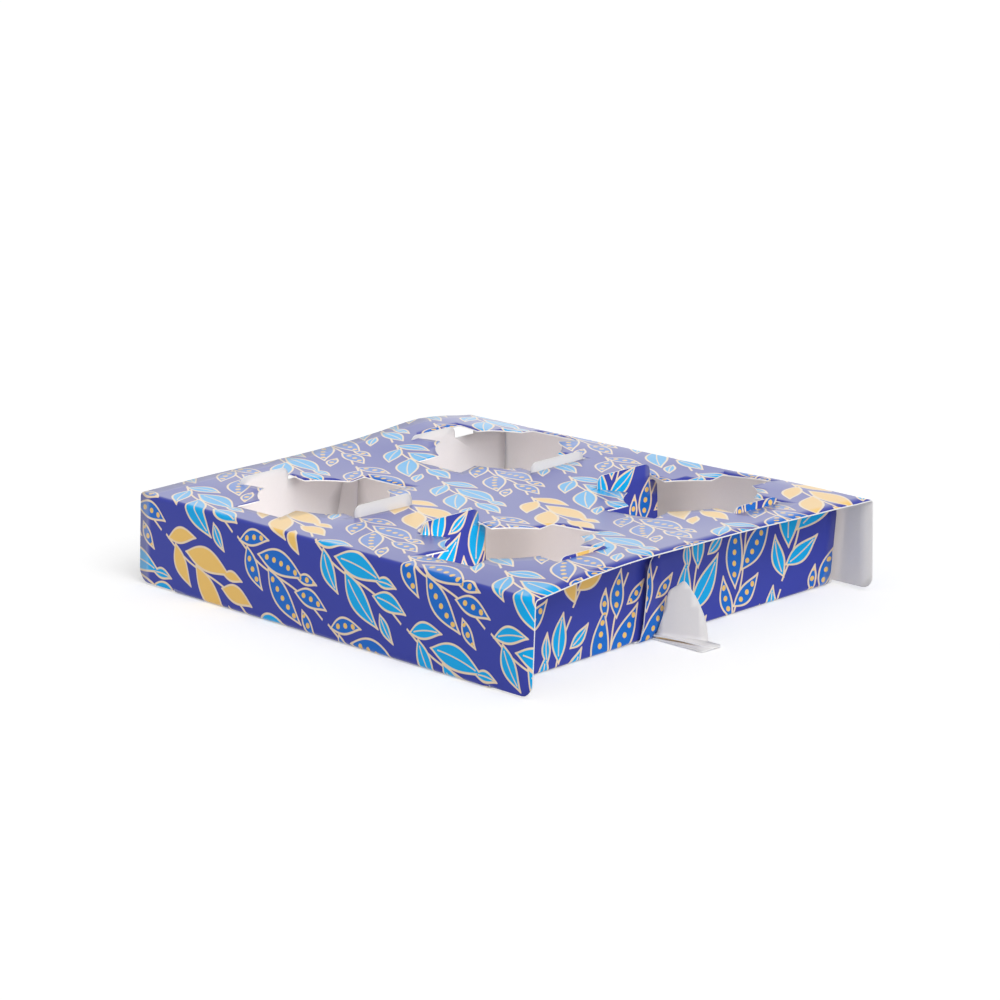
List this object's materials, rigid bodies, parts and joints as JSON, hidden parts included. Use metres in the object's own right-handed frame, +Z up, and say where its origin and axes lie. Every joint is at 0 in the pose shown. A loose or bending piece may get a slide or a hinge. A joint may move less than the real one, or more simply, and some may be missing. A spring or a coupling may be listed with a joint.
{
  "type": "cup carrier",
  "caption": "Printed board cup carrier folded from a single die-cut sheet, with cross-shaped cup openings and standing tabs.",
  "frame": {"origin": "middle of the foot, on the surface the carrier stands on", "axes": "+X along the carrier's length, +Y from the near side panel to the far one, +Z up"},
  "size_m": [0.2306, 0.1846, 0.041],
  "materials": {
    "board": "semi-gloss print outside, plain white board inside"
  },
  "bodies": {
    "root": {"carrier": "board"}
  },
  "joints": []
}
